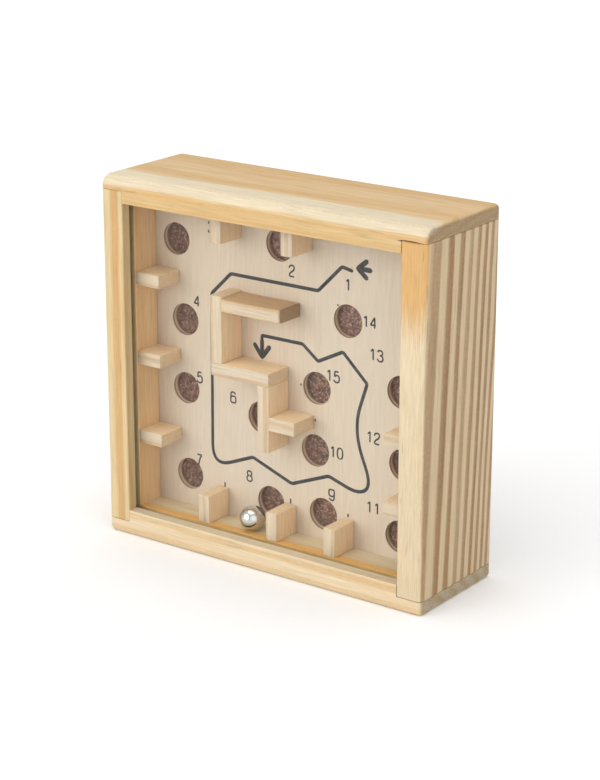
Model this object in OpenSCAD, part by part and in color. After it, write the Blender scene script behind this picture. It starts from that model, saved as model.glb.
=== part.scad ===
// Tilt maze game: a small pine box with a clear cover, a drilled board, glued walls and one steel ball.
// It stands upright on its bottom rail. The cover faces -Y, +X is to the right and +Z is up.
// The origin is on the floor under the middle of the box.

/* [Box] */

// Overall width, along the top and bottom rails
box_w = 100; // [84:0.5:140]
// Overall height, standing on the bottom rail
box_h = 97.5; // [81:0.5:140]
// Overall depth, from the front faces to the back faces
box_d = 32.5; // [27:0.5:45]

/* [Rails] */

// Thickness of the left and right rails
side_rail_t = 7.3; // [5.5:0.1:10]
// Thickness of the top and bottom rails where they lie over the ends of the side rails
cap_t = 3.7; // [3:0.1:5]
// Height of the inner lip of the top and bottom rails, between the side rails
lip_t = 3.2; // [2.7:0.1:5]
// Radius of the well worn front edge of the top rail
top_edge_r = 3; // [1:0.25:3.5]
// Radius of the front edge of the left rail
left_edge_r = 2; // [1:0.25:3.5]
// Radius of the other long outer edges
edge_r = 1.25; // [0.5:0.25:2.5]

/* [Cover and grooves] */

// Distance from the front faces to the clear cover
cover_set_back = 3.1; // [2:0.1:5]
// Thickness of the clear cover
cover_t = 2; // [1:0.1:3]
// How far the cover, the board and the back panel reach into the rails
groove_depth = 2.2; // [1.5:0.1:3]
// Play left in a groove, behind the panel and at its edge
groove_clearance = 0.2; // [0.1:0.05:0.5]

/* [Board and back panel] */

// Depth of the play space, from the back of the cover to the board
play_depth = 8.9; // [8:0.1:14]
// Thickness of the plywood board
board_t = 2; // [1.5:0.1:4]
// Thickness of the brown hardboard behind it
back_panel_t = 3; // [2:0.1:5]
// Diameter of the holes that catch the ball
hole_d = 8.6; // [7.8:0.1:10]

/* [Walls] */

// Thickness of every wall strip
wall_t = 3.5; // [2.5:0.1:4.2]
// Gap between the front of the walls and the cover
wall_gap = 0.3; // [0.2:0.1:1]
// Length of the short walls that stick out of the rails
stub_l = 7.6; // [5:0.1:9]
// Height of the upright wall that stands on the middle shelf
upright_l = 17.8; // [12:0.1:21]
// Length of the arm that leaves the top of the upright wall
arm_l = 18.5; // [12:0.1:21]
// Drop of the arm below the top of the upright wall
arm_drop = 0.5; // [0:0.1:3]
// Length of the middle shelf
shelf_l = 18.3; // [14:0.1:21]
// Length of the wall that hangs from the end of the middle shelf
hanger_l = 17.6; // [14:0.1:21]
// Length of the short branch on the side of the hanging wall
branch_l = 8; // [5:0.1:9]
// Distance from the middle shelf down to the branch
branch_drop = 8; // [4:0.1:9]

/* [Ball] */

// Diameter of the steel ball, seventeen sixty-fourths of an inch
ball_d = 6.75; // [6:0.05:7.5]
// Gap between the ball and what it rolls on or leans against
ball_gap = 0.1; // [0.05:0.05:0.3]
// Place of the ball between its two neighbouring walls, in percent
ball_place = 73; // [5:1:95]

/* [Hidden] */

$fn = 96;
ARC_FN = 64;  // segments of the rounded edges
EPS = 0.01;  // overlap of cutters

// Across the box
LEFT = -box_w / 2;
RIGHT = box_w / 2;
OPEN_L = LEFT + side_rail_t;
OPEN_R = RIGHT - side_rail_t;
OPEN_W = OPEN_R - OPEN_L;

// Up the box
FLOOR_Z = cap_t + lip_t;
CEIL_Z = box_h - cap_t - lip_t;
OPEN_H = CEIL_Z - FLOOR_Z;

// Into the box, with the middle of its depth at y = 0
FRONT = -box_d / 2;
COVER_Y = FRONT + cover_set_back;
PLAY_Y = COVER_Y + cover_t;
BOARD_Y = PLAY_Y + play_depth;
BACK_PANEL_Y = BOARD_Y + board_t;
WALL_Y = PLAY_Y + wall_gap;
WALL_DEPTH = BOARD_Y - WALL_Y;
PANELS_T = board_t + back_panel_t;

// Outer size of the panels that sit in the grooves
PANEL_W = OPEN_W + 2 * groove_depth;
PANEL_H = OPEN_H + 2 * groove_depth;
GROOVE_W = PANEL_W + 2 * groove_clearance;
GROOVE_H = PANEL_H + 2 * groove_clearance;

// Middle lines of the short walls, in percent of the clear opening
LEFT_WALL_PLACES = [75.2, 49.5, 23.5];
RIGHT_WALL_PLACES = [41.4, 20.5];
TOP_WALL_PLACES = [30.7, 56.7];
BOTTOM_WALL_PLACES = [25.1, 50.9, 72.2];

// Middle line of the upright wall and top of the middle shelf, in percent of the clear opening
UPRIGHT_PLACE = 30.7;
SHELF_PLACE = 53.5;

// Middles of the fourteen holes, in percent of the clear opening: across, up
HOLE_PLACES = [
    [8, 87], [47, 91], [11, 61.5], [11, 39], [12, 10.5], [40, 35], [43.5, 8],
    [63, 8.5], [60, 28.5], [60.5, 48.5], [71.5, 71.5], [90.5, 53], [91.5, 30.5], [90.5, 7.5]
];

UPRIGHT_X = across(UPRIGHT_PLACE);
SHELF_TOP = up(SHELF_PLACE);
SHELF_L = UPRIGHT_X - wall_t / 2;
SHELF_R = SHELF_L + shelf_l;
HANGER_TOP = SHELF_TOP - wall_t;

// The ball's run along the bottom rail, between two bottom walls, against the cover
RUN_L = across(BOTTOM_WALL_PLACES[0]) + wall_t / 2 + ball_d / 2 + ball_gap;
RUN_R = across(BOTTOM_WALL_PLACES[1]) - wall_t / 2 - ball_d / 2 - ball_gap;
BALL_X = RUN_L + (RUN_R - RUN_L) * ball_place / 100;
BALL_Y = PLAY_Y + ball_gap + ball_d / 2;
BALL_Z = FLOOR_Z + ball_gap + ball_d / 2;

PINE = [0.86, 0.73, 0.49];
PINE_SIDE = [0.80, 0.68, 0.47];
PINE_PALE = [0.90, 0.82, 0.66];
PLYWOOD = [0.86, 0.78, 0.70];
HARDBOARD = [0.47, 0.35, 0.31];
CLEAR = [0.93, 0.96, 0.96, 0.25];
STEEL = [0.78, 0.79, 0.80];

// Place across the clear opening, from a share in percent
function across(share) = OPEN_L + OPEN_W * share / 100;

// Height in the clear opening, from a share in percent
function up(share) = FLOOR_Z + OPEN_H * share / 100;

// A rectangle from [x0, y0] to [x1, y1] with its own radius at each corner:
// lower left, lower right, upper right, upper left
module rounded_rectangle(x0, y0, x1, y1, radii) {
    corners = [[x0, y0, 1, 1], [x1, y0, -1, 1], [x1, y1, -1, -1], [x0, y1, 1, -1]];
    difference() {
        translate([x0, y0])
            square([x1 - x0, y1 - y0]);
        for (i = [0:3])
            translate([corners[i][0], corners[i][1]])
                scale([corners[i][2], corners[i][3]])
                    corner_waste(radii[i]);
    }
}

// What a rounding of radius r removes from a square corner at the origin
module corner_waste(r) {
    difference() {
        translate([-r, -r])
            square(2 * r);
        translate([r, r])
            circle(r, $fn = ARC_FN);
        translate([-r, r])
            square(2 * r);
        translate([r, -r])
            square(2 * r);
    }
}

// The outside of the glued and sanded box: three rounded outlines crossed
module sanded_box() {
    intersection() {
        linear_extrude(box_h)
            rounded_rectangle(
                LEFT, FRONT, RIGHT, FRONT + box_d, [left_edge_r, edge_r, edge_r, edge_r]
            );
        translate([0, FRONT + box_d, 0])
            rotate([90, 0, 0])
                linear_extrude(box_d)
                    rounded_rectangle(
                        LEFT, 0, RIGHT, box_h, [edge_r, edge_r, edge_r, left_edge_r]
                    );
        translate([LEFT, 0, 0])
            rotate([90, 0, 90])
                linear_extrude(box_w)
                    rounded_rectangle(
                        FRONT, 0, FRONT + box_d, box_h, [edge_r, edge_r, edge_r, top_edge_r]
                    );
    }
}

// The grooves that hold the cover and the two panels
module grooves() {
    panel_block(GROOVE_W, GROOVE_H, COVER_Y, cover_t + groove_clearance);
    panel_block(GROOVE_W, GROOVE_H, BOARD_Y, PANELS_T + groove_clearance);
}

// An upright slab in the middle of the opening, from depth y0, of thickness t
module panel_block(w, h, y0, t) {
    translate([-w / 2, y0, (FLOOR_Z + CEIL_Z - h) / 2])
        cube([w, t, h]);
}

// A top or bottom rail: a long cap, and a lip that goes between the side rails
module long_rail(cap_z, lip_z) {
    intersection() {
        sanded_box();
        difference() {
            union() {
                translate([LEFT, FRONT, cap_z])
                    cube([box_w, box_d, cap_t]);
                translate([OPEN_L, FRONT, lip_z])
                    cube([OPEN_W, box_d, lip_t]);
            }
            grooves();
        }
    }
}

// A side rail, from its outer face at x0
module side_rail(x0) {
    intersection() {
        sanded_box();
        difference() {
            translate([x0, FRONT, cap_t])
                cube([side_rail_t, box_d, box_h - 2 * cap_t]);
            side_grooves();
        }
    }
}

// The same two grooves, run right through the ends of the side rails
module side_grooves() {
    panel_block(GROOVE_W, box_h, COVER_Y, cover_t + groove_clearance);
    panel_block(GROOVE_W, box_h, BOARD_Y, PANELS_T + groove_clearance);
}

// A wall strip, l wide and h high, with its lower left corner at x, z
module strip(x, z, l, h) {
    color(PINE_PALE)
        translate([x, WALL_Y, z])
            cube([l, WALL_DEPTH, h]);
}

module top_rail() {
    color(PINE)
        long_rail(box_h - cap_t, CEIL_Z);
}

module bottom_rail() {
    color(PINE)
        long_rail(0, cap_t);
}

module left_rail() {
    color(PINE_SIDE)
        side_rail(LEFT);
}

module right_rail() {
    color(PINE_SIDE)
        side_rail(OPEN_R);
}

module clear_cover() {
    color(CLEAR)
        panel_block(PANEL_W, PANEL_H, COVER_Y, cover_t);
}

module maze_board() {
    color(PLYWOOD)
        difference() {
            panel_block(PANEL_W, PANEL_H, BOARD_Y, board_t);
            for (place = HOLE_PLACES)
                translate([across(place[0]), BOARD_Y - EPS, up(place[1])])
                    rotate([-90, 0, 0])
                        cylinder(d = hole_d, h = board_t + 2 * EPS);
        }
}

module back_panel() {
    color(HARDBOARD)
        panel_block(PANEL_W, PANEL_H, BACK_PANEL_Y, back_panel_t);
}

module left_wall(place) {
    strip(OPEN_L, up(place) - wall_t / 2, stub_l, wall_t);
}

module right_wall(place) {
    strip(OPEN_R - stub_l, up(place) - wall_t / 2, stub_l, wall_t);
}

module top_wall(place) {
    strip(across(place) - wall_t / 2, CEIL_Z - stub_l, wall_t, stub_l);
}

module bottom_wall(place) {
    strip(across(place) - wall_t / 2, FLOOR_Z, wall_t, stub_l);
}

module upright_wall() {
    strip(SHELF_L, SHELF_TOP, wall_t, upright_l);
}

module arm_wall() {
    strip(SHELF_L + wall_t, SHELF_TOP + upright_l - arm_drop - wall_t, arm_l, wall_t);
}

module shelf_wall() {
    strip(SHELF_L, SHELF_TOP - wall_t, shelf_l, wall_t);
}

module hanging_wall() {
    strip(SHELF_R - wall_t, HANGER_TOP - hanger_l, wall_t, hanger_l);
}

module branch_wall() {
    strip(SHELF_R, HANGER_TOP - branch_drop - wall_t, branch_l, wall_t);
}

module steel_ball() {
    color(STEEL)
        translate([BALL_X, BALL_Y, BALL_Z])
            sphere(d = ball_d);
}

top_rail();
bottom_rail();
left_rail();
right_rail();
clear_cover();
maze_board();
back_panel();
left_wall(LEFT_WALL_PLACES[0]);  // left_wall_1
left_wall(LEFT_WALL_PLACES[1]);  // left_wall_2
left_wall(LEFT_WALL_PLACES[2]);  // left_wall_3
right_wall(RIGHT_WALL_PLACES[0]);  // right_wall_1
right_wall(RIGHT_WALL_PLACES[1]);  // right_wall_2
top_wall(TOP_WALL_PLACES[0]);  // top_wall_1
top_wall(TOP_WALL_PLACES[1]);  // top_wall_2
bottom_wall(BOTTOM_WALL_PLACES[0]);  // bottom_wall_1
bottom_wall(BOTTOM_WALL_PLACES[1]);  // bottom_wall_2
bottom_wall(BOTTOM_WALL_PLACES[2]);  // bottom_wall_3
upright_wall();
arm_wall();
shelf_wall();
hanging_wall();
branch_wall();
steel_ball();
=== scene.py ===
"""Tilt maze game: the looks of a small pine box with a clear cover, a printed board, walls and a ball."""

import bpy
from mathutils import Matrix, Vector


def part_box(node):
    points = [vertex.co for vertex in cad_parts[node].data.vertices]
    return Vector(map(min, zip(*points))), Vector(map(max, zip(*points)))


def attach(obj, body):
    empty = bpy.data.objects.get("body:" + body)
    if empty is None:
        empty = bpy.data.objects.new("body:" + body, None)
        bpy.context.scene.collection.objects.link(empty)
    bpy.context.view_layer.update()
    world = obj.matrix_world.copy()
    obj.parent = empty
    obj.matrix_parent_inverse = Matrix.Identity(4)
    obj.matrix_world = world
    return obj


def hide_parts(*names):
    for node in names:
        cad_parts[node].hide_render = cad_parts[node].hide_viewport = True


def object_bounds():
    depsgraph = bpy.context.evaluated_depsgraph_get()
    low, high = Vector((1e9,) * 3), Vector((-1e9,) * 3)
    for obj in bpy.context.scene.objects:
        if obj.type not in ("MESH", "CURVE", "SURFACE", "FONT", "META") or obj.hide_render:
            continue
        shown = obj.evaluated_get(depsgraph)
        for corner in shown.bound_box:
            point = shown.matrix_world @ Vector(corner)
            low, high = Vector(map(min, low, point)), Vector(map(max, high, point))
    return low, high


bl_info = {
    "name": "Tilt maze game",
    "version": (1, 0, 0),
    "blender": (4, 5, 0),
    "location": "3D View > Sidebar > Maze",
    "description": "Builds the looks of a tilt maze game around its packed parts",
    "category": "Object",
}

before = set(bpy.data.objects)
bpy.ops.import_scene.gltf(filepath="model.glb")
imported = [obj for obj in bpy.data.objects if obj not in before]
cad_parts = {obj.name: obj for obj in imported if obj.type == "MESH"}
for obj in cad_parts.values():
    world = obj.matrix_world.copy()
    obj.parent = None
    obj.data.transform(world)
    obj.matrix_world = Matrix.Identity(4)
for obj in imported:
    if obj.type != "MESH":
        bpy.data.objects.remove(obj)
CAD_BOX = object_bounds()

import math

import bmesh
import bpy
import numpy as np

MM = 0.001
RING_SWING = 2.6  # how far the rings wander, as a factor on noise that runs from -0.5 to 0.5, in mm
SHEET_IOR = 1.2
GROOVE_SLACK = 0.2 * MM  # play behind a panel in its groove
SHEET_ARRIS = 0.15 * MM
TICK_WIDTH = 0.48 * MM
FLOOR_REACH = 3.0

LONG_RAILS = ("top_rail", "bottom_rail")
SIDE_RAILS = ("left_rail", "right_rail")
WALLS = (
    "left_wall_1",
    "left_wall_2",
    "left_wall_3",
    "right_wall_1",
    "right_wall_2",
    "top_wall_1",
    "top_wall_2",
    "bottom_wall_1",
    "bottom_wall_2",
    "bottom_wall_3",
    "upright_wall",
    "arm_wall",
    "shelf_wall",
    "hanging_wall",
    "branch_wall",
)
BOX_BODY = "maze_box"
BALL_BODY = "ball"

# The clear opening between the rails, and the front face of the board, from the frame
OPEN_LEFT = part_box("left_rail")[1][0]
OPEN_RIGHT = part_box("right_rail")[0][0]
OPEN_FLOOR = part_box("bottom_rail")[1][2]
OPEN_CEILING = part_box("top_rail")[0][2]
BOARD_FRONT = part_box("maze_board")[0][1]
CAP_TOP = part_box("left_rail")[0][2]  # where the bottom rail's cap ends and the side rails start


# ---------------------------------------------------------------- sizes and colours


class MazeSizes(bpy.types.PropertyGroup):
    """Small sizes of the finish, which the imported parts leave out."""

    arris: bpy.props.FloatProperty(
        name="Arris",
        description="Width of the sanded arris on the rails",
        default=0.35 * MM,
        unit="LENGTH",
    )
    wall_arris: bpy.props.FloatProperty(
        name="Wall arris",
        description="Radius of the edges of the wall strips",
        default=0.2 * MM,
        unit="LENGTH",
    )
    top_front_radius: bpy.props.FloatProperty(
        name="Top front edge",
        description="Radius of the worn front edge of the top rail",
        default=3.0 * MM,
        unit="LENGTH",
    )
    left_radius: bpy.props.FloatProperty(
        name="Left edge",
        description="Radius of the front edge of the left rail and of the ends above and below it",
        default=2.0 * MM,
        unit="LENGTH",
    )
    edge_radius: bpy.props.FloatProperty(
        name="Other edges",
        description="Radius of the other long outer edges",
        default=1.25 * MM,
        unit="LENGTH",
    )
    groove_depth: bpy.props.FloatProperty(
        name="Groove depth",
        description="Depth of the two grooves in the rails",
        default=2.4 * MM,
        unit="LENGTH",
    )
    line_width: bpy.props.FloatProperty(
        name="Route width",
        description="Width of the printed route line",
        default=0.95 * MM,
        unit="LENGTH",
    )
    arrow_width: bpy.props.FloatProperty(
        name="Arrow width",
        description="Width of the strokes of the two arrows",
        default=1.3 * MM,
        unit="LENGTH",
    )
    ink_height: bpy.props.FloatProperty(
        name="Ink height",
        description="How far the dry ink stands above the board",
        default=0.03 * MM,
        unit="LENGTH",
    )
    number_height: bpy.props.FloatProperty(
        name="Number height",
        description="Height of the printed numbers",
        default=2.85 * MM,
        unit="LENGTH",
    )
    figure_stroke: bpy.props.FloatProperty(
        name="Figure stroke",
        description="Width of the strokes of the printed numbers",
        default=0.45 * MM,
        unit="LENGTH",
    )


class MazeColours(bpy.types.PropertyGroup):
    """Colours of the materials, as sRGB hex values."""

    heartwood: bpy.props.StringProperty(
        name="Heartwood", description="Tan wood of the top rail", default="#D2B384"
    )
    # Painted highlight: the pale band over the top rail's rounded front edge, where the light catches it
    sapwood: bpy.props.StringProperty(
        name="Sapwood", description="Pale outer wood along the top rail's front edge", default="#D9CBAE"
    )
    stripe_pale: bpy.props.StringProperty(
        name="Pale stripes", description="Early wood of the striped right rail", default="#D7C4A2"
    )
    stripe_dark: bpy.props.StringProperty(
        name="Dark stripes", description="Late wood of the striped right rail", default="#83623A"
    )
    strip: bpy.props.StringProperty(
        name="Wall strips", description="Pale wood of the maze's walls", default="#D3BEA5"
    )
    # Lighter, warmer colour of the walls' side faces: a painted warm bounce light on those shaded faces
    strip_side: bpy.props.StringProperty(
        name="Wall sides", description="Aged wood on the walls' sides", default="#F6D6AE"
    )
    board: bpy.props.StringProperty(
        name="Board", description="Face veneer of the plywood", default="#D0C0AF"
    )
    hardboard: bpy.props.StringProperty(
        name="Hardboard", description="Pressed brown fibre of the back panel", default="#774F3F"
    )
    ink: bpy.props.StringProperty(name="Ink", description="Black printing ink", default="#18191A")
    steel: bpy.props.StringProperty(name="Steel", description="Polished bearing steel", default="#D4D3CF")


def sizes():
    return bpy.context.scene.maze_sizes


def colours():
    return bpy.context.scene.maze_colours


# ---------------------------------------------------------------- meshes


def finish_piece(name, verts, faces, body, node_names, material, smooth=True):
    """Put computed points and faces into one closed mesh that faces outward, and hand it to the frame."""
    mesh = bpy.data.meshes.new(name)
    mesh.from_pydata(np.asarray(verts).tolist(), [], [list(f) for f in faces])
    shell = bmesh.new()
    shell.from_mesh(mesh)
    bmesh.ops.remove_doubles(shell, verts=shell.verts, dist=1e-7)
    bmesh.ops.dissolve_degenerate(shell, edges=shell.edges, dist=1e-7)
    bmesh.ops.recalc_face_normals(shell, faces=shell.faces)
    shell.to_mesh(mesh)
    shell.free()
    mesh.polygons.foreach_set("use_smooth", [smooth] * len(mesh.polygons))
    mesh.materials.append(material)
    piece = bpy.data.objects.new(name, mesh)
    bpy.context.scene.collection.objects.link(piece)
    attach(piece, body)
    if node_names:
        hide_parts(*node_names)
    return piece


def grid_faces(rows, columns, first=0, close_columns=False):
    """Quads between neighbouring points of a grid stored row by row."""
    across = columns if close_columns else columns - 1
    row, column = np.meshgrid(np.arange(rows - 1), np.arange(across), indexing="ij")
    after = (column + 1) % columns
    quads = np.stack(
        [
            row * columns + column,
            row * columns + after,
            (row + 1) * columns + after,
            (row + 1) * columns + column,
        ],
        axis=-1,
    )
    return (quads.reshape(-1, 4) + first).tolist()


def rounded_block(low, high, radius, steps=3):
    """A box with rounded edges.

    Each side is a grid over the plain box. A point is drawn back to the nearest point of the inner box,
    which is smaller by the radius on every side, and stands off it by the radius.
    """
    low, high = np.asarray(low, float), np.asarray(high, float)
    rise = radius * np.tan(np.linspace(0, math.pi / 4, steps + 1))
    stations = [
        np.concatenate([low[k] + radius - rise[::-1], high[k] - radius + rise]) for k in range(3)
    ]
    verts, faces, first = [], [], 0
    for axis in range(3):
        u_axis, v_axis = (axis + 1) % 3, (axis + 2) % 3
        u, v = np.meshgrid(stations[u_axis], stations[v_axis], indexing="ij")
        for side in (low[axis], high[axis]):
            points = np.empty(u.shape + (3,))
            points[..., axis] = side
            points[..., u_axis] = u
            points[..., v_axis] = v
            core = np.clip(points, low + radius, high - radius)
            away = points - core
            away /= np.linalg.norm(away, axis=-1, keepdims=True)
            verts.append((core + radius * away).reshape(-1, 3))
            faces += grid_faces(*u.shape, first=first)
            first += u.size
    return np.concatenate(verts), faces


def corner_arc(centre, radius, start, steps=6):
    """Points of a quarter circle from the start angle, in degrees, turning left."""
    angle = np.radians(start + np.linspace(0, 90, steps + 1))
    return np.stack([centre[0] + radius * np.cos(angle), centre[1] + radius * np.sin(angle)], axis=-1)


def grooved_outline(front, back, inner, outer, lip, grooves, depth, radii, insets=(0, 0, 0)):
    """Outline of a rail's section, anticlockwise, in (depth into the box, distance from the opening).

    It runs out along the back, over the two rounded outer corners and down the front, then back along the
    inner side and through the grooves. lip is where the inner side lies: at inner for the whole section, or
    at the joint for the part over a side rail, where the grooves close up. insets draw in the front, the
    outer side and the back near a rounded end, with the corners' centres kept.
    """
    front_radius, back_radius = radii
    front_in, outer_in, back_in = insets
    least = 0.02 * MM
    y0, y1, v1 = front + front_in, back - back_in, outer - outer_in
    back_r = max(back_radius - max(outer_in, back_in), least)
    front_r = max(front_radius - max(outer_in, front_in), least)
    back_corner = corner_arc((y1 - back_r, v1 - back_r), back_r, 0)
    front_corner = corner_arc((y0 + front_r, v1 - front_r), front_r, 90)
    floor = lip + depth if lip == inner else lip
    run = [(y0, lip)]
    for start, stop in grooves:
        run += [(start, lip), (start, floor), (stop, floor), (stop, lip)]
    run.append((y1, lip))
    return np.concatenate([back_corner, front_corner, np.array(run)])


def end_inset(distance, radius):
    """How far a side is drawn in at a distance from a rounded end: a quarter circle of that radius."""
    short = max(radius - distance, 0.0)
    return radius - math.sqrt(max(radius * radius - short * short, 0.0))


def rail_grooves():
    """The two grooves' depths into the box, from the cover, the board and the back panel."""
    cover = (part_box("clear_cover")[0][1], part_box("clear_cover")[1][1] + GROOVE_SLACK)
    panels = (BOARD_FRONT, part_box("back_panel")[1][1] + GROOVE_SLACK)
    return cover, panels


def add_arrises(piece, width):
    """Round every sharp edge by a small sanded arris."""
    bevel = piece.modifiers.new("arris", "BEVEL")
    bevel.width = width
    bevel.segments = 3
    bevel.limit_method = "ANGLE"
    bevel.angle_limit = math.radians(40)
    bevel.harden_normals = True


def sweep(sections):
    """Faces for a stack of closed outlines of one length, with the first and last filled in."""
    count, points = len(sections), len(sections[0])
    faces = grid_faces(count, points, close_columns=True)
    faces.append(list(range(points)))
    faces.append(list(range((count - 1) * points, count * points)))
    return faces


def long_rail_points(name, upside_down):
    """Sections of a top or bottom rail along X: caps over the side rails, and a deeper middle with a lip.

    At each side rail's inner face two sections share one place, which makes the shoulder of the joint.
    """
    s = sizes()
    low, high = (np.array(corner, float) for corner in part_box(name))
    joint = (high[2] - low[2]) - (CAP_TOP - CAD_BOX[0][2])
    outer = high[2] - low[2]
    radii = (s.edge_radius if upside_down else s.top_front_radius, s.edge_radius)
    left_r, right_r = s.left_radius, s.edge_radius
    turn = np.linspace(0, math.pi / 2, 7)
    left = low[0] + left_r * (1 - np.cos(turn))
    right = high[0] - right_r * (1 - np.cos(turn))[::-1]
    stations = [(x, joint) for x in left] + [(OPEN_LEFT, joint), (OPEN_LEFT, 0.0)]
    stations += [(OPEN_RIGHT, 0.0), (OPEN_RIGHT, joint)] + [(x, joint) for x in right]
    sections = []
    for x, lip in stations:
        from_left, from_right = x - low[0], high[0] - x
        corner = max(end_inset(from_left, left_r), end_inset(from_right, right_r))
        back = max(end_inset(from_left, s.edge_radius), end_inset(from_right, s.edge_radius))
        outline = grooved_outline(
            low[1], high[1], 0.0, outer, lip, rail_grooves(), s.groove_depth, radii, (corner, corner, back)
        )
        height = high[2] - outline[:, 1] if upside_down else low[2] + outline[:, 1]
        sections.append(np.stack([np.full(len(outline), x), outline[:, 0], height], axis=-1))
    return sections


def side_rail_points(name, on_left):
    """Sections of a side rail along Z: one grooved outline at its foot and one at its head."""
    s = sizes()
    low, high = (np.array(corner, float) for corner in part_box(name))
    radii = (s.left_radius if on_left else s.edge_radius, s.edge_radius)
    outline = grooved_outline(
        low[1], high[1], 0.0, high[0] - low[0], 0.0, rail_grooves(), s.groove_depth, radii
    )
    across = high[0] - outline[:, 1] if on_left else low[0] + outline[:, 1]
    return [
        np.stack([across, outline[:, 0], np.full(len(outline), z)], axis=-1) for z in (low[2], high[2])
    ]


def rounded_path(points, bends, steps=8):
    """A path whose corners are eased by a parabola that starts and ends a bend's length from the corner.

    A bend takes at most half of a leg it shares with another corner, so that very large bends turn the path
    into a smooth curve through the middles of its legs.
    """
    points = np.asarray(points, float)
    bends = np.broadcast_to(bends, len(points))
    legs = np.linalg.norm(np.diff(points, axis=0), axis=1)
    room = legs / 2
    room[0], room[-1] = legs[0], legs[-1]
    path = [points[:1]]
    share = np.linspace(0, 1, steps + 1)[:, None]
    for k in range(1, len(points) - 1):
        before, corner, after = points[k - 1 : k + 2]
        start = corner + (before - corner) / legs[k - 1] * min(bends[k], room[k - 1])
        stop = corner + (after - corner) / legs[k] * min(bends[k], room[k])
        path.append((1 - share) ** 2 * start + 2 * share * (1 - share) * corner + share**2 * stop)
    path.append(points[-1:])
    return np.concatenate(path)


def resample(path, spacing):
    """The same path with points at even steps."""
    length = np.concatenate([[0], np.cumsum(np.linalg.norm(np.diff(path, axis=0), axis=1))])
    count = max(int(length[-1] / spacing), 4)
    at = np.linspace(0, length[-1], count + 1)
    return np.stack([np.interp(at, length, path[:, k]) for k in range(path.shape[1])], axis=-1)


def ink_stroke(path, width, height, first):
    """A stroke of dry ink along a path in the board's plane, (across, up).

    Its section is a flat ellipse, carried along the path square to it, and its width follows a half circle
    at both ends, so that they are round. It lies half sunk in the board's face.
    """
    path = resample(np.asarray(path, float), width / 3)
    step = np.gradient(path, axis=0)
    step /= np.linalg.norm(step, axis=1, keepdims=True)
    normal = np.stack([-step[:, 1], step[:, 0]], axis=-1)
    along = np.concatenate([[0], np.cumsum(np.linalg.norm(np.diff(path, axis=0), axis=1))])
    radius = width / 2
    cap = np.minimum(along, along[-1] - along) / radius
    taper = np.sqrt(np.clip(1 - (1 - np.clip(cap, 0, 1)) ** 2, 0.0, 1))
    around = np.linspace(0, 2 * math.pi, 12, endpoint=False)
    half = (radius * taper)[:, None] * np.cos(around)[None, :]
    rise = height * np.maximum(taper, 0.02)[:, None] * np.sin(around)[None, :]
    verts = np.stack(
        [
            path[:, 0, None] + normal[:, 0, None] * half,
            BOARD_FRONT - rise,
            path[:, 1, None] + normal[:, 1, None] * half,
        ],
        axis=-1,
    ).reshape(-1, 3)
    rows, columns = half.shape
    faces = grid_faces(rows, columns, first, close_columns=True)
    faces.append([first + k for k in range(columns)])
    faces.append([first + (rows - 1) * columns + k for k in range(columns)])
    return verts, faces


def from_corner(points):
    """Places in millimetres from the lower left corner of the clear opening, to places in the frame."""
    points = np.asarray(points, float)
    return np.stack([OPEN_LEFT + points[:, 0] * MM, OPEN_FLOOR + points[:, 1] * MM], axis=-1)


# ---------------------------------------------------------------- materials


def linear(hex_colour):
    """A linear RGBA colour from an sRGB hex value."""
    channels = np.array([int(hex_colour[k : k + 2], 16) for k in (1, 3, 5)]) / 255
    curved = ((channels + 0.055) / 1.055) ** 2.4
    return (*np.where(channels <= 0.04045, channels / 12.92, curved), 1.0)


def add_node(tree, kind, inputs=None, **settings):
    """Add a shader node of a kind, set its properties, and link or set its inputs by name or number."""
    node = tree.nodes.new("ShaderNode" + kind)
    for name, value in settings.items():
        setattr(node, name, value)
    for key, value in (inputs or {}).items():
        if isinstance(value, bpy.types.NodeSocket):
            tree.links.new(value, node.inputs[key])
        else:
            node.inputs[key].default_value = value
    return node


def set_ramp(node, stops):
    """Give a colour ramp its stops: (place, grey value or colour)."""
    ramp = node.color_ramp
    while len(ramp.elements) > 1:
        ramp.elements.remove(ramp.elements[-1])
    for index, (place, value) in enumerate(stops):
        element = ramp.elements[0] if index == 0 else ramp.elements.new(place)
        element.position = place
        element.color = value if isinstance(value, tuple) else (value, value, value, 1.0)


def new_material(name):
    material = bpy.data.materials.new(name)
    material.use_nodes = True
    tree = material.node_tree
    tree.nodes.clear()
    output = add_node(tree, "OutputMaterial")
    shader = add_node(tree, "BsdfPrincipled")
    tree.links.new(shader.outputs[0], output.inputs["Surface"])
    return material, tree, shader


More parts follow.
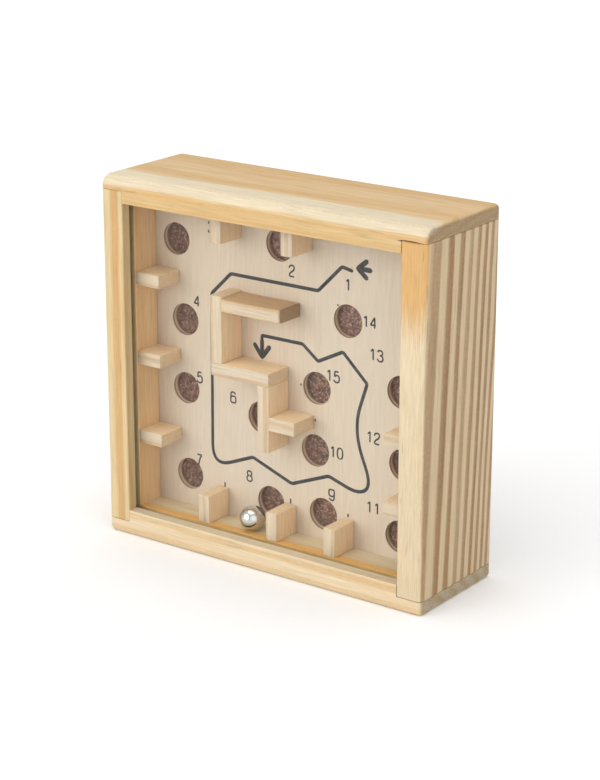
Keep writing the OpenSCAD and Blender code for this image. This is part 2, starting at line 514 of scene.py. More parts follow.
def pine(
    name, along, pith, ring_mm, early, late, law=1.0, phase=0.0, late_share=0.5,
    sap=None, warmth=0.2, lean=0.0, speckle=0.03, end_shade=0.6, side_light_shade=None,
    front_rings=1.0, patches=(), seed=0.0,
):
    """Sanded pine with a thin oil finish, sawn from a log whose rings run round a pith line.

    Each growth ring goes from pale early wood to a darker, harder late wood, which gives stripes where a
    face cuts across the rings and broad bands where it runs with them. Fine fibres run along the grain, with
    a few short resin ducts. Cut ends are browner, because the open tubes drink the oil.

    along is the grain's axis, 0 for X and 2 for Z. pith is the middle of the rings in the section, in
    millimetres, and lean the angle it leans back at. The rings turn over at
    (radius / ring_mm) ** law + phase, so a law of 2 gives rings of one area, which get finer outwards.
    sap is the radius where a pale band starts, with its colour: a painted highlight along a rounded
    edge. side_light_shade is the colour and strength of painted light and shade on faces that look to the
    side.
    front_rings is how strongly the rings show on the front, where a face that follows one pale ring shows
    few.
    patches are stained spots, and spots of painted shade and painted light: middle, reach, colour and
    strength.
    """
    material, tree, shader = new_material(name)
    place = add_node(tree, "TexCoord")
    turn = (0, -math.pi / 2, 0) if along == 0 else (lean, 0, 0)
    centre = (pith[1], -pith[0], seed) if along == 0 else (-pith[0], -pith[1], seed)
    in_mm = add_node(
        tree, "Mapping",
        {"Vector": place.outputs["Object"], "Scale": (1000, 1000, 1000), "Rotation": turn,
         "Location": centre},
    )
    # The rings wander by about half a millimetre to either side, over some centimetres of length
    slow = add_node(tree, "Mapping", {"Vector": in_mm.outputs[0], "Scale": (0.11, 0.11, 0.014)})
    wander = add_node(tree, "TexNoise", {"Vector": slow.outputs[0], "Scale": 1.0, "Detail": 3.0})
    flat = add_node(tree, "VectorMath", {0: in_mm.outputs[0], 1: (1, 1, 0)}, operation="MULTIPLY")
    radius = add_node(tree, "VectorMath", {0: flat.outputs[0]}, operation="LENGTH")
    offset = add_node(tree, "Math", {0: wander.outputs["Fac"], 1: 0.5}, operation="SUBTRACT")
    shifted = add_node(
        tree, "Math", {0: offset.outputs[0], 1: RING_SWING, 2: radius.outputs["Value"]},
        operation="MULTIPLY_ADD",
    )
    scaled = add_node(tree, "Math", {0: shifted.outputs[0], 1: ring_mm}, operation="DIVIDE")
    power = add_node(tree, "Math", {0: scaled.outputs[0], 1: law}, operation="POWER")
    turns = add_node(tree, "Math", {0: power.outputs[0], 1: phase}, operation="ADD")
    in_ring = add_node(tree, "Math", {0: turns.outputs[0]}, operation="FRACT")
    number = add_node(tree, "Math", {0: turns.outputs[0]}, operation="FLOOR")
    year = add_node(tree, "TexWhiteNoise", {"W": number.outputs[0]}, noise_dimensions="1D")
    strength = add_node(tree, "MapRange", {"Value": year.outputs["Value"], "To Min": 0.65, "To Max": 1.0})
    profile = add_node(tree, "ValToRGB", {"Fac": in_ring.outputs[0]})
    rise = 0.5 - late_share / 2
    set_ramp(profile, [(rise - 0.08, 0.0), (rise + 0.1, 0.85), (rise + late_share - 0.08, 1.0),
                       (rise + late_share + 0.05, 0.0)])
    facing = add_node(tree, "SeparateXYZ", {0: place.outputs["Normal"]})
    forward = add_node(tree, "Math", {0: facing.outputs[1]}, operation="ABSOLUTE")
    cut_across = add_node(
        tree, "MapRange",
        {"Value": forward.outputs[0], "From Min": 0.6, "From Max": 0.85, "To Min": 1.0,
         "To Max": front_rings},
    )
    shown = add_node(tree, "Math", {0: strength.outputs[0], 1: cut_across.outputs[0]}, operation="MULTIPLY")
    late_wood = add_node(
        tree, "Math", {0: profile.outputs["Color"], 1: shown.outputs[0]}, operation="MULTIPLY"
    )
    # Fibres drawn about 0.4 mm wide so that they show, and streaks of about 2 mm, both along the grain
    thin = add_node(tree, "Mapping", {"Vector": in_mm.outputs[0], "Scale": (2.6, 2.6, 0.09)})
    fibre = add_node(
        tree, "TexNoise", {"Vector": thin.outputs[0], "Scale": 1.0, "Detail": 5.0, "Roughness": 0.65}
    )
    broad = add_node(tree, "Mapping", {"Vector": in_mm.outputs[0], "Scale": (0.55, 0.55, 0.02)})
    streak = add_node(tree, "TexNoise", {"Vector": broad.outputs[0], "Scale": 1.0, "Detail": 3.0})
    body = add_node(
        tree, "Mix", {"Factor": late_wood.outputs[0], 6: linear(early), 7: linear(late)},
        data_type="RGBA",
    )
    warm_amount = add_node(
        tree, "MapRange",
        {"Value": streak.outputs["Fac"], "From Min": 0.42, "From Max": 0.68, "To Min": 0.0, "To Max": warmth},
    )
    coloured = add_node(
        tree, "Mix", {"Factor": warm_amount.outputs[0], 6: body.outputs[2], 7: linear("#CC9450")},
        data_type="RGBA",
    )
    # A pale band beyond a radius from the pith: a painted highlight along the top rail's rounded front edge
    if sap:
        from_radius, highlight_band_colour = sap
        amount = add_node(
            tree, "MapRange",
            {"Value": shifted.outputs[0], "From Min": from_radius, "From Max": from_radius + 0.4,
             "To Max": 0.9},
        )
        coloured = add_node(
            tree, "Mix", {"Factor": amount.outputs[0], 6: coloured.outputs[2], 7: linear(highlight_band_colour)},
            data_type="RGBA",
        )
    # Painted light and shade on faces that look to the side: a painted warm bounce light on the walls, a
    # painted shade on the right rail
    if side_light_shade:
        side_light_shade_colour, side_light_shade_amount = side_light_shade
        side_light_shade_mask = add_node(
            tree, "MapRange",
            {"Value": forward.outputs[0], "From Min": 0.75, "From Max": 0.35, "To Max": side_light_shade_amount},
        )
        coloured = add_node(
            tree, "Mix",
            {"Factor": side_light_shade_mask.outputs[0], 6: coloured.outputs[2], 7: linear(side_light_shade_colour)},
            data_type="RGBA",
        )
    for middle, reach, colour, amount in patches:
        middle, reach = np.array(middle, float), np.array(reach, float)
        near = add_node(
            tree, "Mapping",
            {"Vector": place.outputs["Object"], "Scale": tuple(1000 / reach),
             "Location": tuple(-middle / reach)},
        )
        gap = add_node(tree, "VectorMath", {0: near.outputs[0]}, operation="LENGTH")
        ragged = add_node(
            tree, "Math", {0: fibre.outputs["Fac"], 1: 0.5, 2: gap.outputs["Value"]},
            operation="MULTIPLY_ADD",
        )
        spot = add_node(
            tree, "MapRange",
            {"Value": ragged.outputs[0], "From Min": 1.35, "From Max": 0.95, "To Max": amount},
        )
        coloured = add_node(
            tree, "Mix", {"Factor": spot.outputs[0], 6: coloured.outputs[2], 7: linear(colour)},
            data_type="RGBA",
        )
    shade = add_node(
        tree, "MapRange",
        {"Value": fibre.outputs["Fac"], "From Min": 0.3, "From Max": 0.7, "To Min": 0.84, "To Max": 1.09},
    )
    # Specks of about 0.5 mm in the late wood, and resin ducts as short dark dashes
    grit = add_node(tree, "Mapping", {"Vector": in_mm.outputs[0], "Scale": (1.8, 1.8, 1.2)})
    specks = add_node(tree, "TexNoise", {"Vector": grit.outputs[0], "Scale": 1.0, "Detail": 3.0})
    centred = add_node(tree, "Math", {0: specks.outputs["Fac"], 1: 0.5}, operation="SUBTRACT")
    gritty = add_node(tree, "Math", {0: centred.outputs[0], 1: late_wood.outputs[0]}, operation="MULTIPLY")
    shaded = add_node(
        tree, "Math", {0: gritty.outputs[0], 1: 8 * speckle, 2: shade.outputs[0]},
        operation="MULTIPLY_ADD",
    )
    dashes = add_node(tree, "Mapping", {"Vector": in_mm.outputs[0], "Scale": (1.5, 1.5, 0.11)})
    ducts = add_node(tree, "TexNoise", {"Vector": dashes.outputs[0], "Scale": 1.0, "Detail": 1.0})
    duct_shade = add_node(
        tree, "MapRange",
        {"Value": ducts.outputs["Fac"], "From Min": 0.68, "From Max": 0.76, "To Min": 1.0, "To Max": 0.82},
    )
    toned = add_node(tree, "Math", {0: shaded.outputs[0], 1: duct_shade.outputs[0]}, operation="MULTIPLY")
    grained = add_node(
        tree, "Mix", {"Factor": 1.0, 6: coloured.outputs[2], 7: toned.outputs[0]},
        data_type="RGBA", blend_type="MULTIPLY",
    )
    # Cut ends
    lengthwise = add_node(tree, "Math", {0: facing.outputs[along]}, operation="ABSOLUTE")
    is_end = add_node(tree, "MapRange", {"Value": lengthwise.outputs[0], "From Min": 0.6, "From Max": 0.95})
    tubes = add_node(tree, "TexNoise", {"Vector": in_mm.outputs[0], "Scale": 2.6, "Detail": 4.0})
    tube_shade = add_node(
        tree, "MapRange",
        {"Value": tubes.outputs["Fac"], "From Min": 0.3, "From Max": 0.7, "To Min": end_shade - 0.14,
         "To Max": end_shade + 0.14},
    )
    end_colour = add_node(
        tree, "Mix", {"Factor": 1.0, 6: grained.outputs[2], 7: tube_shade.outputs[0]},
        data_type="RGBA", blend_type="MULTIPLY",
    )
    final = add_node(
        tree, "Mix", {"Factor": is_end.outputs[0], 6: grained.outputs[2], 7: end_colour.outputs[2]},
        data_type="RGBA",
    )
    tree.links.new(final.outputs[2], shader.inputs["Base Color"])
    gloss = add_node(
        tree, "MapRange",
        {"Value": fibre.outputs["Fac"], "From Min": 0.3, "From Max": 0.7, "To Min": 0.64, "To Max": 0.48},
    )
    tree.links.new(gloss.outputs[0], shader.inputs["Roughness"])
    shader.inputs["IOR"].default_value = 1.5
    height = add_node(
        tree, "Math", {0: late_wood.outputs[0], 1: 0.4, 2: fibre.outputs["Fac"]},
        operation="MULTIPLY_ADD",
    )
    relief = add_node(tree, "Bump", {"Height": height.outputs[0], "Strength": 0.35, "Distance": 0.05 * MM})
    tree.links.new(relief.outputs[0], shader.inputs["Normal"])
    return material


def birch_plywood(name, face_colour, face_y):
    """Thin birch plywood: a sanded face veneer with short brown pores, and three plies in the cut edges.

    The face is smooth and matt. In the holes the drill has browned the outer veneers and left the core pale.
    """
    material, tree, shader = new_material(name)
    place = add_node(tree, "TexCoord")
    in_mm = add_node(tree, "Mapping", {"Vector": place.outputs["Object"], "Scale": (1000, 1000, 1000)})
    # Pores: dashes up the board, drawn about 0.4 mm wide so that they show, and about 8 mm long
    fine = add_node(tree, "Mapping", {"Vector": in_mm.outputs[0], "Scale": (2.6, 1.0, 0.12)})
    pores = add_node(
        tree, "TexNoise", {"Vector": fine.outputs[0], "Scale": 1.0, "Detail": 4.0, "Roughness": 0.6}
    )
    wide = add_node(tree, "Mapping", {"Vector": in_mm.outputs[0], "Scale": (0.09, 1.0, 0.018)})
    cloud = add_node(tree, "TexNoise", {"Vector": wide.outputs[0], "Scale": 1.0, "Detail": 3.0})
    shade = add_node(
        tree, "MapRange",
        {"Value": pores.outputs["Fac"], "From Min": 0.28, "From Max": 0.6, "To Min": 0.9, "To Max": 1.02},
    )
    tone = add_node(
        tree, "Mix",
        {"Factor": cloud.outputs["Fac"], 6: linear(face_colour), 7: linear("#D0B9A1")},
        data_type="RGBA",
    )
    face = add_node(
        tree, "Mix",
        {"Factor": 1.0, 6: tone.outputs[2], 7: shade.outputs[0]},
        data_type="RGBA",
        blend_type="MULTIPLY",
    )
    # Depth below the face, in millimetres, picks the ply
    parts = add_node(tree, "SeparateXYZ", {0: place.outputs["Object"]})
    depth = add_node(
        tree, "MapRange",
        {"Value": parts.outputs[1], "From Min": face_y, "From Max": face_y + 2 * MM},
    )
    plies = add_node(tree, "ValToRGB", {"Fac": depth.outputs[0]})
    set_ramp(
        plies,
        [
            (0.0, linear("#B89E86")),
            (0.3, linear("#A98C74")),
            (0.36, linear("#E3CDB4")),
            (0.68, linear("#D9BFA3")),
            (0.75, linear("#9C7E68")),
        ],
    )
    facing = add_node(tree, "SeparateXYZ", {0: place.outputs["Normal"]})
    forward = add_node(tree, "Math", {0: facing.outputs[1]}, operation="ABSOLUTE")
    on_face = add_node(tree, "MapRange", {"Value": forward.outputs[0], "From Min": 0.5, "From Max": 0.85})
    final = add_node(
        tree, "Mix",
        {"Factor": on_face.outputs[0], 6: plies.outputs["Color"], 7: face.outputs[2]},
        data_type="RGBA",
    )
    tree.links.new(final.outputs[2], shader.inputs["Base Color"])
    gloss = add_node(tree, "MapRange", {"Value": pores.outputs["Fac"], "To Min": 0.72, "To Max": 0.55})
    tree.links.new(gloss.outputs[0], shader.inputs["Roughness"])
    shader.inputs["IOR"].default_value = 1.5
    relief = add_node(
        tree, "Bump", {"Height": pores.outputs["Fac"], "Strength": 0.25, "Distance": 0.04 * MM}
    )
    tree.links.new(relief.outputs[0], shader.inputs["Normal"])
    return material


def pressed_hardboard(name, colour):
    """Brown hardboard: pressed wood fibre, which shows as small dark and light flecks of about 0.5 mm."""
    material, tree, shader = new_material(name)
    place = add_node(tree, "TexCoord")
    in_mm = add_node(tree, "Mapping", {"Vector": place.outputs["Object"], "Scale": (1000, 1000, 1000)})
    fleck = add_node(
        tree, "TexNoise", {"Vector": in_mm.outputs[0], "Scale": 2.1, "Detail": 3.0, "Roughness": 0.6}
    )
    patch = add_node(tree, "TexNoise", {"Vector": in_mm.outputs[0], "Scale": 0.25, "Detail": 2.0})
    flecks = add_node(tree, "ValToRGB", {"Fac": fleck.outputs["Fac"]})
    set_ramp(flecks, [(0.38, 0.5), (0.49, 0.87), (0.55, 1.15), (0.62, 2.3)])
    tone = add_node(
        tree, "Mix",
        {"Factor": patch.outputs["Fac"], 6: linear(colour), 7: linear("#6F594D")},
        data_type="RGBA",
    )
    final = add_node(
        tree, "Mix",
        {"Factor": 1.0, 6: tone.outputs[2], 7: flecks.outputs["Color"]},
        data_type="RGBA",
        blend_type="MULTIPLY",
    )
    tree.links.new(final.outputs[2], shader.inputs["Base Color"])
    gloss = add_node(tree, "MapRange", {"Value": fleck.outputs["Fac"], "To Min": 0.75, "To Max": 0.5})
    tree.links.new(gloss.outputs[0], shader.inputs["Roughness"])
    relief = add_node(
        tree, "Bump", {"Height": fleck.outputs["Fac"], "Strength": 0.4, "Distance": 0.08 * MM}
    )
    tree.links.new(relief.outputs[0], shader.inputs["Normal"])
    return material


def screen_ink(name, colour):
    """Dark grey screen ink: a thin matt film, a little uneven where the wood's pores show through."""
    material, tree, shader = new_material(name)
    place = add_node(tree, "TexCoord")
    grain = add_node(tree, "Mapping", {"Vector": place.outputs["Object"], "Scale": (2600, 2600, 260)})
    cover = add_node(tree, "TexNoise", {"Vector": grain.outputs[0], "Scale": 1.0, "Detail": 4.0})
    amount = add_node(
        tree, "MapRange",
        {"Value": cover.outputs["Fac"], "From Min": 0.35, "From Max": 0.75, "To Min": 0.0, "To Max": 0.35},
    )
    final = add_node(
        tree, "Mix",
        {"Factor": amount.outputs[0], 6: linear(colour), 7: linear("#6E6A66")},
        data_type="RGBA",
    )
    tree.links.new(final.outputs[2], shader.inputs["Base Color"])
    gloss = add_node(tree, "MapRange", {"Value": cover.outputs["Fac"], "To Min": 0.5, "To Max": 0.7})
    tree.links.new(gloss.outputs[0], shader.inputs["Roughness"])
    return material


def clear_acrylic(name):
    """Clear acrylic sheet, which bends light a little, has a faint gloss and lets lamps shine through.

    Acrylic has an IOR of 1.49. Here it is lower, because the mirror image of an all-white room would veil
    the board more than a real room does.
    """
    material, tree, shader = new_material(name)
    shader.inputs["Base Color"].default_value = linear("#FBFDFC")
    shader.inputs["Transmission Weight"].default_value = 1.0
    shader.inputs["IOR"].default_value = SHEET_IOR
    place = add_node(tree, "TexCoord")
    # Hairline marks of wiping, drawn about 0.2 mm wide so that they show at all
    wiped = add_node(tree, "Mapping", {"Vector": place.outputs["Object"], "Scale": (400, 400, 5000)})
    marks = add_node(tree, "TexNoise", {"Vector": wiped.outputs[0], "Scale": 1.0, "Detail": 3.0})
    haze = add_node(
        tree, "MapRange",
        {"Value": marks.outputs["Fac"], "From Min": 0.5, "From Max": 0.8, "To Min": 0.0, "To Max": 0.015},
    )
    tree.links.new(haze.outputs[0], shader.inputs["Roughness"])
    output = tree.nodes["Material Output"]
    ray = add_node(tree, "LightPath")
    through = add_node(tree, "BsdfTransparent", {"Color": linear("#F4F7F6")})
    mix = add_node(
        tree, "MixShader", {0: ray.outputs["Is Shadow Ray"], 1: shader.outputs[0], 2: through.outputs[0]}
    )
    tree.links.new(mix.outputs[0], output.inputs["Surface"])
    return material


def polished_steel(name, colour):
    """Polished bearing steel: a bright mirror with faint rub marks from rolling on wood."""
    material, tree, shader = new_material(name)
    shader.inputs["Base Color"].default_value = linear(colour)
    shader.inputs["Metallic"].default_value = 1.0
    place = add_node(tree, "TexCoord")
    in_mm = add_node(tree, "Mapping", {"Vector": place.outputs["Object"], "Scale": (1000, 1000, 1000)})
    rub = add_node(tree, "TexNoise", {"Vector": in_mm.outputs[0], "Scale": 1.6, "Detail": 6.0})
    dull = add_node(
        tree, "MapRange",
        {"Value": rub.outputs["Fac"], "From Min": 0.4, "From Max": 0.75, "To Min": 0.07, "To Max": 0.22},
    )
    tree.links.new(dull.outputs[0], shader.inputs["Roughness"])
    return material


def studio_floor(name):
    """Plain white paper sweep, matt, with a very faint tooth."""
    material, tree, shader = new_material(name)
    place = add_node(tree, "TexCoord")
    tooth = add_node(tree, "TexNoise", {"Vector": place.outputs["Object"], "Scale": 900.0})
    tone = add_node(
        tree, "Mix",
        {"Factor": tooth.outputs["Fac"], 6: linear("#FAFAFA"), 7: linear("#F6F6F6")},
        data_type="RGBA",
    )
    tree.links.new(tone.outputs[2], shader.inputs["Base Color"])
    shader.inputs["Roughness"].default_value = 0.9
    return material


# ---------------------------------------------------------------- operators


# Painted shade of the open crack in the joint between the top rail and the right rail, on the front: a thin
# dark line
CRACK_SHADE = ((45.4, -16.25, 93.7), (3.6, 1.2, 0.34), "#2E1C0E", 0.95)


# The brown end of the long arm near the top, which has soaked up more oil
ARM_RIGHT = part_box("arm_wall")[1]
ARM_TOP = ((ARM_RIGHT[0] / MM - 9.0, -6.5, ARM_RIGHT[2] / MM), (16.0, 8.0, 0.5), "#B88B58", 0.7)
ARM_END = ((ARM_RIGHT[0] / MM, -6.5, ARM_RIGHT[2] / MM - 1.75), (0.7, 6.5, 3.5), "#94714F", 0.8)


class MAZE_OT_long_rails(bpy.types.Operator):
    """Make the top and bottom rails, with their lips, shoulders, grooves and sanded edges"""

    bl_idname = "maze.long_rails"
    bl_label = "Top and bottom rails"

    def execute(self, context):
        c = colours()
        woods = {
            "top_rail": pine(
                "oiled_pine_top", 0, (20.8, -18.8), 2.4, c.heartwood, "#C9A46C", late_share=0.35,
                # The pale band over the front edge is a painted highlight
                sap=(119.65, c.sapwood), warmth=0.3, end_shade=0.53,
                patches=[((0.0, -16.25, 92.0), (80.0, 3.0, 3.0), "#CCAA6A", 0.35), CRACK_SHADE],
            ),
            "bottom_rail": pine(
                "oiled_pine_bottom", 0, (-22.0, -20.0), 4.0, "#DDCBAA", "#D1B486", late_share=0.4,
                warmth=0.2, end_shade=0.55, seed=37.0,
                patches=[((0.0, -10.2, 6.9), (70.0, 1.9, 1.2), "#E3AB5A", 0.85)],
            ),
        }
        for name in LONG_RAILS:
            sections = long_rail_points(name, upside_down=name == "bottom_rail")
            piece = finish_piece(
                name + "_sanded", np.concatenate(sections), sweep(sections),
                BOX_BODY, [name], woods[name],
            )
            add_arrises(piece, sizes().arris)
        return {"FINISHED"}


class MAZE_OT_side_rails(bpy.types.Operator):
    """Make the left and right rails, with their grooves and sanded edges"""

    bl_idname = "maze.side_rails"
    bl_label = "Side rails"

    def execute(self, context):
        c = colours()
        woods = {
            "left_rail": pine(
                "oiled_pine_left", 2, (-66.6, -24.0), 5.0, "#D2BC8E", "#BE8F52", late_share=0.5,
                warmth=0.5, seed=11.0,
                # The pale warm patch on the inner face is a painted warm bounce light on that shaded face
                patches=[((-42.7, -6.5, 48.0), (1.6, 7.0, 70.0), "#F0C898", 0.75)],
            ),
            "right_rail": pine(
                "oiled_pine_right", 2, (46.3, -31.4), 15.0, c.stripe_pale, c.stripe_dark, law=2.0,
                phase=0.506, late_share=0.5, warmth=0.12, lean=math.radians(3.2), speckle=0.1,
                # The brown mixed into the right rail's side faces is a painted shade
                side_light_shade=("#A47A42", 0.28), front_rings=0.12, seed=23.0,
                patches=[CRACK_SHADE, ((46.3, -16.5, 96.0), (9.0, 1.6, 26.0), "#CD9A50", 0.8)],
            ),
        }
        for name in SIDE_RAILS:
            sections = side_rail_points(name, on_left=name == "left_rail")
            piece = finish_piece(
                name + "_sanded", np.concatenate(sections), sweep(sections),
                BOX_BODY, [name], woods[name],
            )
            add_arrises(piece, sizes().arris)
        return {"FINISHED"}


class MAZE_OT_walls(bpy.types.Operator):
    """Make the pine strips of the maze, each with its eased edges"""

    bl_idname = "maze.walls"
    bl_label = "Wall strips"

    def execute(self, context):
        c = colours()
        wood = {
            # The colour mixed into the walls' side faces is a painted warm bounce light
            0: pine(
                "planed_pine_across", 0, (30.0, -60.0), 3.1, c.strip, "#C8A884", late_share=0.35,
                warmth=0.15, end_shade=0.85, side_light_shade=(c.strip_side, 0.9), seed=5.0,
                patches=[ARM_TOP, ARM_END],
            ),
            2: pine(
                "planed_pine_up", 2, (70.0, 24.0), 3.1, c.strip, "#C8A884", late_share=0.35,
                warmth=0.15, end_shade=0.9, side_light_shade=(c.strip_side, 0.9), seed=71.0,
            ),
        }
        for name in WALLS:
            low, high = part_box(name)
            along = 0 if high[0] - low[0] > high[2] - low[2] else 2
            verts, faces = rounded_block(low, high, sizes().wall_arris)
            finish_piece(name + "_strip", verts, faces, BOX_BODY, [name], wood[along])
        return {"FINISHED"}


class MAZE_OT_panels(bpy.types.Operator):
    """Finish the drilled board, the hardboard behind it and the clear cover"""

    bl_idname = "maze.panels"
    bl_label = "Board, back panel and cover"

    def execute(self, context):
        c = colours()
        for node_name, material in (
            ("maze_board", birch_plywood("birch_plywood", c.board, BOARD_FRONT)),
            ("back_panel", pressed_hardboard("pressed_hardboard", c.hardboard)),
        ):
            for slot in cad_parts[node_name].material_slots:
                slot.material = material
        verts, faces = rounded_block(*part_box("clear_cover"), SHEET_ARRIS, steps=2)
        finish_piece(
            "clear_cover_sheet", verts, faces, BOX_BODY, ["clear_cover"],
            clear_acrylic("clear_acrylic"), smooth=False,
        )
        return {"FINISHED"}


# The printed route, in millimetres from the lower left corner of the clear opening: across, up, and how far
# the bend reaches from the corner
ROUTE = np.array([
    (62.6, 72.8, 0), (59.2, 73.5, 0.6), (52.0, 66.2, 0.5), (24.5, 66.2, 0.5), (18.2, 60.0, 0.5),
    (17.9, 12.4, 6.5), (31.2, 17.8, 0.5), (43.8, 13.2, 0.6), (55.4, 17.8, 0.6), (64.8, 14.9, 4.0),
    (68.6, 18.0, 5.0), (62.9, 32.0, 9.0), (67.0, 44.6, 0.4), (59.6, 51.6, 0.4), (52.0, 47.8, 0.4),
    (47.2, 51.5, 0.4), (34.4, 51.5, 0.3), (34.4, 46.2, 0),
])
START_ARROW = [[(67.0, 76.3), (63.9, 73.8), (67.0, 71.3)], [(64.6, 73.8), (68.3, 73.8)]]
END_ARROW = [[(31.7, 49.2), (34.4, 45.7), (37.1, 49.2)], [(34.4, 50.6), (34.4, 46.4)]]
# Ticks that mark where walls and holes go: across, up, and the length
TICKS = [
    (21.9, 7.4, 1.5), (43.4, 7.6, 1.5), (61.5, 7.9, 1.1),
    (51.2, 31.6, 0.8), (46.7, 40.3, 0.7), (58.0, 63.2, 0.6),
]

# Middles of the printed numbers, in percent of the clear opening: across, up
NUMBER_PLACES = [
    (71.3, 82.6), (51.3, 83.6), (21.2, 92.5), (15.5, 68.1), (16.2, 43.4), (29.2, 39.4), (15.7, 15.9),
    (35.2, 14.7), (66.0, 15.4), (67.6, 29.4), (80.9, 14.6), (80.7, 36.9), (81.5, 62.8), (79.0, 72.5),
    (66.2, 53.4),
]

# Strokes of the figures in a field 0.58 wide and 1 high. The flag says whether the path is one smooth curve
FIGURE_WIDTH = 0.58
NINE_TURNED = [(.54, .78), (.5, 1), (.02, 1.02), (0, .4), (0, 0), (.29, 0), (.58, 0), (.58, .62), (.29, .62),
               (.03, .62), (.02, .36)]
FIGURES = {
    "0": [([(.29, 0), (0, 0), (0, 1), (.58, 1), (.58, 0), (.29, 0)], True)],
    "1": [([(.12, .77), (.38, 1), (.38, 0)], False)],
    "2": [([(.03, .7), (.04, 1), (.55, 1.02), (.56, .6), (.04, .28), (.02, 0)], True),
          ([(.02, 0), (.57, 0)], False)],
    "3": [([(.03, .78), (.06, 1), (.54, 1), (.54, .54), (.22, .54)], True),
          ([(.22, .54), (.58, .54), (.58, 0), (.04, 0), (0, .26)], True)],
    "4": [([(.43, 0), (.43, 1), (0, .3), (.58, .3)], False)],
    "5": [([(.53, 1), (.12, 1), (.06, .5)], False),
          ([(.06, .5), (.2, .66), (.58, .66), (.58, 0), (.04, 0), (0, .24)], True)],
    "6": [(NINE_TURNED, True)],
    "7": [([(0, 1), (.57, 1)], False), ([(.57, 1), (.24, .6), (.2, 0)], True)],
    "8": [([(.29, .53), (.05, .53), (.05, 1), (.53, 1), (.53, .53), (.29, .53)], True),
          ([(.29, .53), (0, .53), (0, 0), (.58, 0), (.58, .53), (.29, .53)], True)],
    "9": [([(.58 - x, 1 - y) for x, y in NINE_TURNED], True)],
}


class MAZE_OT_printing(bpy.types.Operator):
    """Print the route line, its arrows, the numbers and the small ticks on the board"""

    bl_idname = "maze.printing"
    bl_label = "Printing"

    def execute(self, context):
        s = sizes()
        ink = screen_ink("black_screen_ink", colours().ink)
        route = rounded_path(from_corner(ROUTE[:, :2]), ROUTE[:, 2] * MM)
        groups = {
            "route_line": [(route, s.line_width)],
            "start_arrow": [(from_corner(points), s.arrow_width) for points in START_ARROW],
            "end_arrow": [(from_corner(points), s.arrow_width) for points in END_ARROW],
            "ticks": [(from_corner([(x, z), (x, z + length)]), TICK_WIDTH) for x, z, length in TICKS],
        }
        for number, place in enumerate(NUMBER_PLACES, 1):
            groups[f"number_{number}"] = [(p, s.figure_stroke) for p in self.figure_paths(number, place)]
        for name, strokes in groups.items():
            verts, faces = [], []
            for path, width in strokes:
                points, quads = ink_stroke(path, width, s.ink_height, sum(len(v) for v in verts))
                verts.append(points)
                faces += quads
            finish_piece(name, np.concatenate(verts), faces, BOX_BODY, [], ink)
        return {"FINISHED"}

    def figure_paths(self, number, place):
        """Paths of a number's strokes, centred on its place in percent of the clear opening."""
        height = sizes().number_height
        across = OPEN_LEFT + (OPEN_RIGHT - OPEN_LEFT) * place[0] / 100
        up = OPEN_FLOOR + (OPEN_CEILING - OPEN_FLOOR) * place[1] / 100
        advance = FIGURE_WIDTH + 0.24
        figures = str(number)
        left = -(advance * (len(figures) - 1) + FIGURE_WIDTH) / 2
        paths = []
        for k, figure in enumerate(figures):
            for points, is_smooth in FIGURES[figure]:
                points = np.asarray(points, float) + (left + advance * k, -0.5)
                path = rounded_path(points, 9.0 if is_smooth else 0.01)
                paths.append(path * height + (across, up))
        return paths


class MAZE_OT_ball(bpy.types.Operator):
    """Make the steel ball"""

    bl_idname = "maze.ball"
    bl_label = "Steel ball"

    def execute(self, context):
        low, high = (np.array(corner, float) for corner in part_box("steel_ball"))
        centre, radius = (low + high) / 2, (high - low).min() / 2
        # Latitude down the rows and longitude round the columns of a sphere
        down, around = np.meshgrid(
            np.linspace(0, math.pi, 65), np.linspace(0, 2 * math.pi, 96, endpoint=False), indexing="ij"
        )
        verts = centre + radius * np.stack(
            [np.sin(down) * np.cos(around), np.sin(down) * np.sin(around), np.cos(down)], axis=-1
        ).reshape(-1, 3)
        faces = grid_faces(*down.shape, close_columns=True)
        finish_piece(
            "polished_ball", verts, faces, BALL_BODY, ["steel_ball"],
            polished_steel("polished_bearing_steel", colours().steel),
        )
        return {"FINISHED"}


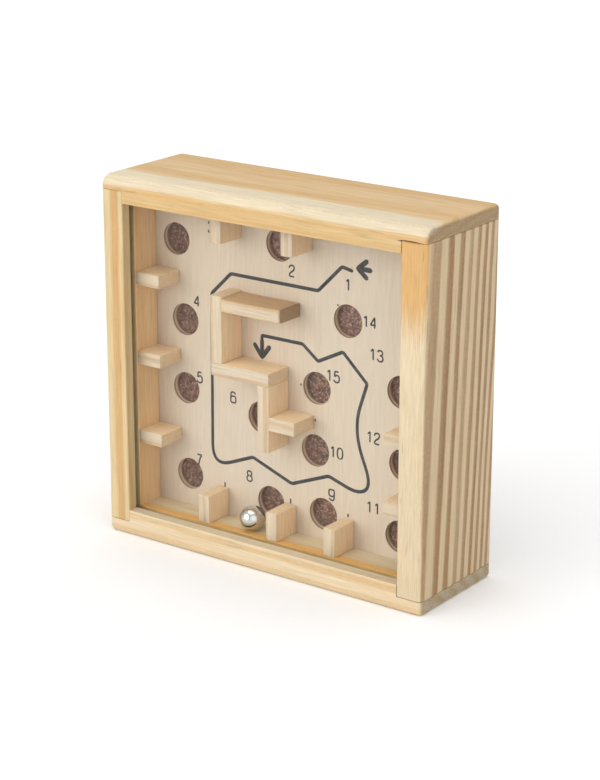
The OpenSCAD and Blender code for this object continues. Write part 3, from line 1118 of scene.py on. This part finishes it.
class MAZE_OT_stage(bpy.types.Operator):
    """Set up the floor, the soft studio light and the camera"""

    bl_idname = "maze.stage"
    bl_label = "Stage"

    def execute(self, context):
        scene = context.scene
        scene.view_settings.view_transform = "Standard"
        ruler = np.linspace(-FLOOR_REACH, FLOOR_REACH, 13)
        u, v = np.meshgrid(ruler, ruler, indexing="ij")
        verts = np.stack([u, v, np.zeros_like(u)], axis=-1).reshape(-1, 3)
        mesh = bpy.data.meshes.new("floor")
        mesh.from_pydata(verts.tolist(), [], grid_faces(*u.shape))
        mesh.materials.append(studio_floor("white_paper_sweep"))
        floor = bpy.data.objects.new("floor", mesh)
        scene.collection.objects.link(floor)

        world = bpy.data.worlds.new("studio")
        world.use_nodes = True
        background = world.node_tree.nodes["Background"]
        background.inputs["Color"].default_value = (1.0, 1.0, 1.0, 1.0)
        background.inputs["Strength"].default_value = 0.75
        scene.world = world

        self.soft_light("key", azimuth=-25, elevation=14, spread=50, strength=1.08)
        self.soft_light("top", azimuth=0, elevation=80, spread=60, strength=0.97)
        self.soft_light("fill", azimuth=50, elevation=10, spread=60, strength=0.46)

        view = bpy.data.cameras.new("camera")
        view.lens = 103.2
        view.sensor_width = 36.0
        camera = bpy.data.objects.new("camera", view)
        scene.collection.objects.link(camera)
        self.aim(camera, (0.3216, -0.4387, 0.2225), azimuth=36.1, elevation=18.11)
        scene.camera = camera
        return {"FINISHED"}

    def aim(self, thing, place, azimuth, elevation):
        """Put a camera or lamp at a place, looking back along a direction round and above the object."""
        thing.location = place
        thing.rotation_euler = (math.radians(90 - elevation), 0, math.radians(azimuth))

    def soft_light(self, name, azimuth, elevation, spread, strength):
        """A far, wide lamp from an azimuth and an elevation, as broad as its spread, in degrees."""
        lamp = bpy.data.lights.new(name, "SUN")
        lamp.angle = math.radians(spread)
        lamp.energy = strength
        holder = bpy.data.objects.new(name, lamp)
        bpy.context.scene.collection.objects.link(holder)
        self.aim(holder, (0, 0, 1), azimuth, elevation)


class MAZE_PT_panel(bpy.types.Panel):
    """Sidebar panel of the maze game"""

    bl_idname = "MAZE_PT_panel"
    bl_label = "Tilt maze game"
    bl_space_type = "VIEW_3D"
    bl_region_type = "UI"
    bl_category = "Maze"

    def draw(self, context):
        for group in (context.scene.maze_sizes, context.scene.maze_colours):
            for name in group.bl_rna.properties.keys():
                if name not in ("rna_type", "name"):
                    self.layout.prop(group, name)
        for operator in OPERATORS:
            self.layout.operator(operator.bl_idname)


OPERATORS = (
    MAZE_OT_long_rails,
    MAZE_OT_side_rails,
    MAZE_OT_panels,
    MAZE_OT_walls,
    MAZE_OT_printing,
    MAZE_OT_ball,
    MAZE_OT_stage,
)
CLASSES = (MazeSizes, MazeColours, *OPERATORS, MAZE_PT_panel)


def register():
    for cls in CLASSES:
        bpy.utils.register_class(cls)
    bpy.types.Scene.maze_sizes = bpy.props.PointerProperty(type=MazeSizes)
    bpy.types.Scene.maze_colours = bpy.props.PointerProperty(type=MazeColours)


def unregister():
    del bpy.types.Scene.maze_colours
    del bpy.types.Scene.maze_sizes
    for cls in reversed(CLASSES):
        bpy.utils.unregister_class(cls)


def main():
    register()
    for operator in OPERATORS:
        category, name = operator.bl_idname.split(".")
        getattr(getattr(bpy.ops, category), name)()


if __name__ == "__main__":
    main()
